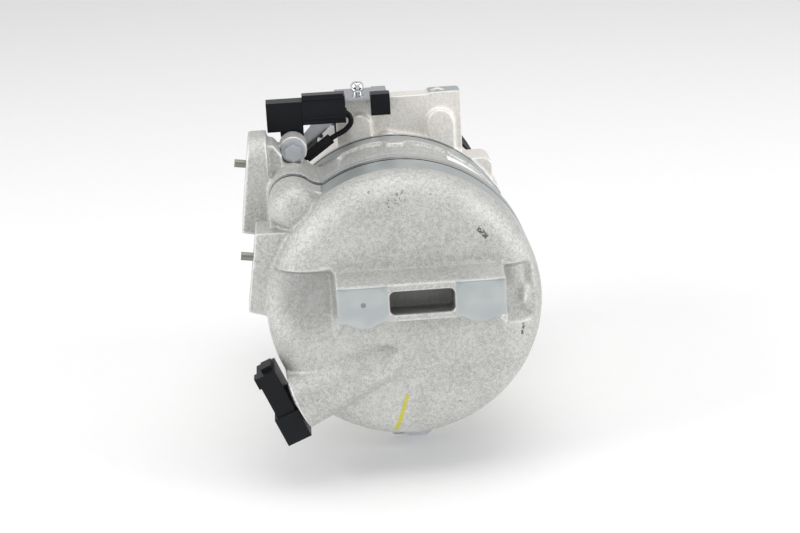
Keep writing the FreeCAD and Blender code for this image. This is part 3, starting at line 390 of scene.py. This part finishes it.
# %% Steels and alloys
def metal(name, dark, light, rough, edge_mm=0.25, grain_mm=0.7, depth=0.01, metallic=0.95, stretch=None):
    """Ground, plated or painted metal with a cloudy colour and worn edges."""
    f = Finish(name)
    cloud = f.noise(6.0, 3.0)
    grain = f.noise(grain_mm, 2.0, 0.5, stretch=stretch)
    color = f.mix(cloud * 0.6 + grain * 0.4, dark, light)
    normal = f.bump(grain, depth, f.bevel(edge_mm, 4))
    return f.done(color, rough + (cloud - 0.5) * 0.12 + (grain - 0.5) * 0.08, metallic, normal)


ZINC = metal("zinc plate", (0.50, 0.52, 0.55), (0.74, 0.76, 0.80), 0.30)
CHROME = metal("bright chrome", (0.78, 0.79, 0.81), (0.90, 0.91, 0.92), 0.10, 0.3, depth=0.002)
STEEL = metal("ground steel", (0.42, 0.43, 0.44), (0.58, 0.59, 0.60), 0.32, stretch=(1.0, 6.0, 1.0))
SPRING = metal("spring steel", (0.30, 0.30, 0.31), (0.46, 0.46, 0.47), 0.28)
PINS = metal("phosphated steel", (0.20, 0.195, 0.18), (0.38, 0.37, 0.34), 0.42, 0.3, 0.5, 0.02)
IRON = metal("plate iron", (0.26, 0.26, 0.27), (0.38, 0.38, 0.39), 0.42)
ALLOY = metal("machined alloy", (0.62, 0.63, 0.64), (0.78, 0.79, 0.80), 0.30)
PULLEY = metal("black pulley paint", (0.018, 0.018, 0.020), (0.035, 0.035, 0.038), 0.42, metallic=0.2)
SHEET = metal("bracket sheet", (0.42, 0.43, 0.46), (0.60, 0.62, 0.66), 0.22, 0.25, 1.4, 0.006)
print("metals", ZINC.name, CHROME.name, STEEL.name, SPRING.name, IRON.name)

# %% [markdown]
# Moulded nylon, rubber, resin and paper aren't metallic. A spark-eroded mould leaves a fine grain on
# them, so they scatter light, and black ones still show a soft highlight on each edge.

# %% Plastics, rubber and paper
def plastic(name, color, rough, edge_mm=0.35, grain_mm=0.35, depth=0.02, shine=0.22):
    """Moulded plastic or rubber: a dark skin with a fine spark-eroded grain."""
    f = Finish(name)
    grain = f.noise(grain_mm, 2.0, 0.5)
    cloud = f.noise(9.0, 2.0)
    lighter = tuple(min(1.0, c * 1.5 + 0.006) for c in color)
    shade = f.mix(cloud * 0.5 + grain * 0.5, color, lighter)
    normal = f.bump(grain, depth, f.bevel(edge_mm, 4))
    f.shader.inputs["Specular IOR Level"].default_value = shine
    return f.done(shade, rough + (grain - 0.5) * 0.12 + (cloud - 0.5) * 0.1, 0.0, normal)


BLACK = plastic("black nylon", (0.006, 0.007, 0.009), 0.34, 0.45, shine=0.14)
GLOSSY = plastic("smooth black nylon", (0.004, 0.005, 0.008), 0.16, 0.7, shine=0.16)
RUBBER = plastic("black rubber", (0.012, 0.012, 0.012), 0.6)
GASKET = plastic("gasket sheet", (0.020, 0.020, 0.022), 0.55)
RESIN = plastic("coil resin", (0.11, 0.045, 0.025), 0.4)
PAPER = plastic("blank label", (0.95, 0.96, 0.98), 0.5, 0.1, 0.3, 0.006)
SHEATH = plastic("lead sheath", (0.006, 0.006, 0.007), 0.42, 0.2, shine=0.14)
print("plastics", BLACK.name, GLOSSY.name, RUBBER.name, PAPER.name)

# %% [markdown]
# The lead runs through a sleeve braided from black yarn. Modelling the yarn would take thousands of
# strands for a sleeve a few millimetres thick, so two crossed waves give its bump and shade.

# %% Braided sleeve
def woven():
    """Braided sleeve: two crossed sine waves along and round the lead, as bump and as shade."""
    f = Finish("braided sleeve")
    slant = (f.x + f.z * 0.8) * 5.2
    other = (f.x - f.z * 0.8 + f.y) * 5.2
    weave = slant.math("SINE") * other.math("SINE") * 0.5 + 0.5
    color = f.mix(weave, (0.004, 0.004, 0.005), (0.030, 0.030, 0.033))
    f.shader.inputs["Specular IOR Level"].default_value = 0.12
    return f.done(color, 0.75 - weave * 0.1, 0.0, f.bump(weave, 0.12))


BRAID = woven()
print(BRAID.name, "has", len(BRAID.node_tree.nodes), "nodes")

# %% [markdown]
# Each CAD node keeps its own mesh and gets the finish of the real part: plated fasteners, ground
# steel inside, black plastic for the connectors. One table says which part has which finish.

# %% Finishes on the frame's nodes
FINISHES = {
    "aluminium casting": (HEAD, ["rear_head"]),
    "block casting": (BLOCK, ["cylinder_block"]),
    "front casting": (FRONT, ["front_housing"]),
    "zinc": (ZINC, ["housing_bolts", "relief_valve", "oil_plug", "field_coil", "hub_rivets", "hub_bolt",
                    "armature_rivets"]),
    "chrome": (CHROME, ["bracket_screw"]),
    "sheet": (SHEET, ["connector_bracket"]),
    "steel": (STEEL, ["valve_plate", "reed_retainer", "control_valve_body", "shaft", "lug_plate",
                      "thrust_bearing", "swash_sleeve", "pulley_bearing_outer", "pulley_bearing_inner",
                      "clutch_hub", "armature_plate", "shaft_bearings"]),
    "spring": (SPRING, ["discharge_reed", "control_valve_spool", "control_valve_spring",
                        "control_valve_ring", "tilt_spring", "return_spring", "pulley_snap_ring",
                        "hub_springs"]),
    "pins": (PINS, ["port_pins"]),
    "iron": (IRON, ["swash_plate"]),
    "pulley": (PULLEY, ["pulley"]),
    "nylon": (BLACK, ["control_valve_connector", "cable_clip", "connector_shroud"]),
    "smooth": (GLOSSY, ["connector_housing"]),
    "rubber": (RUBBER, ["control_valve_orings", "shaft_seal"]),
    "gasket": (GASKET, ["rear_gasket", "front_gasket", "suction_reed"]),
    "resin": (RESIN, ["coil_winding"]),
    "paper": (PAPER, ["label"]),
    "sheath": (SHEATH, ["coil_lead"]),
    "braid": (BRAID, ["lead_sleeve"]),
    "alloy": (ALLOY, ["piston_%d" % i for i in range(1, 7)]),
    "shoe": (STEEL, ["shoes_%d" % i for i in range(1, 7)]),
}
for finish, members in FINISHES.values():
    for member in members:
        nodes[member].data.materials.clear()
        nodes[member].data.materials.append(finish)
finished = {m for _, members in FINISHES.values() for m in members}
print("nodes without a finish:", sorted(set(nodes) - finished))

# %% [markdown]
# Castings have no sharp edges: sand and draft round every corner, and each junction has a fillet.
# Rounding a few hundred crossing faces one by one is slow and fragile. A voxel remesh of the frame's
# own shape followed by a little smoothing rounds them all at once by the same amount, as wear and
# sand do, and stays inside the frame's box. First come the two ways to make a mesh from arrays.

# %% Surfaces from arrays
def lathe(profile, count=96):
    """Closed outline of (radius, y) points carried round the shaft axis: x = r sin a, z = r cos a."""
    profile = np.asarray(profile, float)
    angle = np.linspace(0.0, 2.0 * np.pi, count, endpoint=False)
    r, a = np.meshgrid(profile[:, 0], angle, indexing="ij")
    y = np.repeat(profile[:, 1][:, None], count, axis=1)
    points = np.stack([r * np.sin(a), y, r * np.cos(a)], -1).reshape(-1, 3)
    rows, cols = np.meshgrid(np.arange(len(profile)), np.arange(count), indexing="ij")
    down, along = (rows + 1) % len(profile), (cols + 1) % count
    quads = np.stack([rows * count + cols, rows * count + along, down * count + along,
                      down * count + cols], -1).reshape(-1, 4)
    return points, quads


def mesh_from(name, points, faces, material, smooth=True):
    """A mesh object in metres from points in millimetres."""
    data = bpy.data.meshes.new(name)
    data.from_pydata((points / 1000.0).tolist(), [], faces.tolist())
    data.update()
    data.materials.append(material)
    data.polygons.foreach_set("use_smooth", np.full(len(data.polygons), smooth))
    made = bpy.data.objects.new(name, data)
    bpy.context.scene.collection.objects.link(made)
    return made


def merged_copy(node):
    """Points (mm) and triangles of a CAD node, with its doubled points made one."""
    data = nodes[node].data
    points = np.empty(len(data.vertices) * 3)
    data.vertices.foreach_get("co", points)
    data.calc_loop_triangles()
    faces = np.empty(len(data.loop_triangles) * 3, np.int32)
    data.loop_triangles.foreach_get("vertices", faces)
    microns = np.round(points.reshape(-1, 3) * 1e6).astype(np.int64)
    kept, place = np.unique(microns, axis=0, return_inverse=True)
    return kept / 1000.0, place.reshape(-1)[faces].reshape(-1, 3)


print("rear head has", len(merged_copy("rear_head")[0]), "separate points")

# %% [markdown]
# A voxel remesh puts the same small faces on flats and on corners. The flats don't need them, so the
# flattest ones are joined afterwards, and the piece stays light enough to handle.

# %% Fewer triangles where a skin is flat
MOST_TRIANGLES = 195_000


def thinned(skin):
    """The mesh with its flattest triangles joined, until it has MOST_TRIANGLES at most."""
    triangles = sum(len(face.vertices) - 2 for face in skin.polygons)
    if triangles <= MOST_TRIANGLES:
        return skin
    holder = bpy.data.objects.new("thinning", skin)
    bpy.context.scene.collection.objects.link(holder)
    fewer = holder.modifiers.new("fewer", "DECIMATE")
    fewer.ratio = MOST_TRIANGLES / triangles
    graph = bpy.context.evaluated_depsgraph_get()
    thin = bpy.data.meshes.new_from_object(holder.evaluated_get(graph))
    bpy.data.objects.remove(holder)
    return thin


print("most triangles in a skin:", MOST_TRIANGLES)

# %% [markdown]
# A cast skin is the frame's own part, remeshed and smoothed, which then replaces the part and rides
# on its body. A filler closes a hollow that can't be seen, which saves faces, and a shape rule moves
# points where the casting has a soft form that the frame leaves out.

# %% One cast skin
def cast_skin(node, material, voxel_mm, rounds, shape=None, fillers=()):
    """Remeshed and smoothed copy of a CAD node that replaces it; shape moves its points by a rule."""
    points, faces = merged_copy(node)
    faces = [faces.tolist()]
    for filler_points, filler_faces in fillers:
        faces.append((filler_faces + len(points)).tolist())
        points = np.vstack([points, filler_points])
    data = bpy.data.meshes.new(node + "_raw")
    data.from_pydata((points / 1000.0).tolist(), [], [f for group in faces for f in group])
    raw = bpy.data.objects.new(node + "_raw", data)
    bpy.context.scene.collection.objects.link(raw)
    remesh = raw.modifiers.new("voxels", "REMESH")
    remesh.mode = "VOXEL"
    remesh.voxel_size = voxel_mm / 1000.0
    smooth = raw.modifiers.new("rounding", "SMOOTH")
    smooth.factor = 0.5
    smooth.iterations = rounds
    bpy.context.view_layer.update()
    graph = bpy.context.evaluated_depsgraph_get()
    skin = bpy.data.meshes.new_from_object(raw.evaluated_get(graph))
    bpy.data.objects.remove(raw)
    skin = thinned(skin)
    skin.name = node + "_skin"
    if shape:
        co = np.empty(len(skin.vertices) * 3)
        skin.vertices.foreach_get("co", co)
        skin.vertices.foreach_set("co", (shape(co.reshape(-1, 3) * 1000.0) / 1000.0).ravel())
    skin.polygons.foreach_set("use_smooth", np.ones(len(skin.polygons), bool))
    skin.materials.clear()
    skin.materials.append(material)
    skin.update()
    piece = bpy.data.objects.new(node + "_skin", skin)
    bpy.context.scene.collection.objects.link(piece)
    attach(piece, "housing")
    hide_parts(node)
    print(piece.name, "faces", len(skin.polygons))
    return piece


print("cast skins ride on the housing")

# %% [markdown]
# Beyond the beam's right end the casting has a shallow recess with a rounded swelling left standing
# in it, and on the left a broad hollow runs out below the discharge block. They are soft and shallow,
# so points of the skin are moved forwards by a product of ramps, less a bell curve for the swelling.

# %% Soft hollows of the rear head
def ramp(value, low, high):
    """The smooth ramp of the finishes, on numbers: 3 t^2 - 2 t^3 between low and high."""
    t = np.clip((value - low) / (high - low), 0.0, 1.0)
    return t * t * (3 - 2 * t)


RECESS_DEPTH = 4.0
HOLLOW_DEPTH = 4.5


def head_shape(p):
    """Depth = recess * (1 - bell) on the right, plus the hollow on the left, both as forward moves."""
    x, y, z = p.T
    recess = ramp(x, 43.4, 44.6) * ramp(x, 58.5, 52.5) * ramp(z, -8.0, -4.5) * ramp(z, 20.5, 17.0)
    bell = np.exp(-((x - 53.2) / 2.6) ** 2 - ((z - 3.1) / 5.0) ** 2)
    hollow = ramp(x, -31.4, -33.0) * ramp(z, -12.0, 4.0) * ramp(z, 23.0, 20.0) * ramp(y, -158.0, -172.0)
    moved = p.copy()
    moved[:, 1] += RECESS_DEPTH * ramp(y, -166.0, -171.0) * recess * (1 - bell) + HOLLOW_DEPTH * hollow
    return moved


GALLERY = lathe([(35.2, -157.2), (57.4, -157.2), (57.4, -141.3), (35.2, -141.3)])
cast_skin("rear_head", HEAD, 0.62, 3, head_shape, [GALLERY])

# %% [markdown]
# The block and the front housing need no added form, only their rounded edges. Their voxels are a
# little larger, because their corners are rounder and they lie further back.

# %% The block's and the front housing's skins
cast_skin("cylinder_block", BLOCK, 0.75, 2)
cast_skin("front_housing", FRONT, 0.80, 2)

# %% [markdown]
# The camera looks down at the rear head by 18 degrees, from 3 degrees to one side, and is rolled by 3
# degrees. It stands almost a metre away with a long lens, so that round faces stay round.

# %% Camera
camera_data = bpy.data.cameras.new("camera")
camera_data.sensor_width = 36.0
camera_data.lens = 83.15
camera_data.clip_start = 0.01
camera = bpy.data.objects.new("camera", camera_data)
bpy.context.scene.collection.objects.link(camera)
elevation, azimuth, roll = math.radians(18.0), math.radians(3.0), math.radians(3.0)
look = Vector((math.sin(azimuth) * math.cos(elevation), math.cos(azimuth) * math.cos(elevation),
               -math.sin(elevation)))
right = Vector((math.cos(azimuth), -math.sin(azimuth), 0.0))
up = right.cross(look)
image_right = right * math.cos(roll) - up * math.sin(roll)
image_up = right * math.sin(roll) + up * math.cos(roll)
eye = (-0.0425, -0.9450, 0.2728)
rows = [(image_right[i], image_up[i], -look[i], eye[i]) for i in range(3)]
camera.matrix_world = Matrix((*rows, (0, 0, 0, 1)))
bpy.context.scene.camera = camera
print("camera at", eye, "m")

# %% [markdown]
# The floor is only a pale backdrop. It is a single large square just below the lowest point, with a
# matt finish, and it ends far outside the view.

# %% Floor
FLOOR_HALF = 4000.0
floor_z = 1000 * cad_box[0][2] - 0.5
corners = np.array([(-1, -1), (1, -1), (1, 1), (-1, 1)]) * FLOOR_HALF
floor_points = np.column_stack([corners, np.full(4, floor_z)])
pale = plastic("pale floor", (0.97, 0.97, 0.97), 0.8, 0.1, 4.0, 0.01)
floor = mesh_from("floor", floor_points, np.array([[0, 1, 2, 3]]), pale)
print("floor at", round(floor_z, 1), "mm")

# %% [markdown]
# Bright castings show their form by broad reflections, not by hard shadows. A large softbox above and
# one on each side give those, and a white room fills the rest.

# %% Soft lights
def softbox(name, place, size, watts):
    """Square area light that faces the compressor's middle."""
    data = bpy.data.lights.new(name, "AREA")
    data.size = size
    data.energy = watts
    lamp = bpy.data.objects.new(name, data)
    lamp.location = place
    lamp.rotation_euler = (Vector((0.0, -0.1, 0.0)) - Vector(place)).to_track_quat("-Z", "Y").to_euler()
    bpy.context.scene.collection.objects.link(lamp)


softbox("over", (0.1, -0.2, 1.3), 1.2, 6.5)
softbox("left", (-1.3, -0.55, 0.7), 0.8, 8.0)
softbox("right", (1.3, -0.5, 0.5), 0.8, 6.5)
world = bpy.data.worlds.new("white room")
world.use_nodes = True
world.node_tree.nodes["Background"].inputs["Color"].default_value = (1.0, 1.0, 1.0, 1.0)
world.node_tree.nodes["Background"].inputs["Strength"].default_value = 0.60
bpy.context.scene.world = world
bpy.context.scene.view_settings.view_transform = "Standard"
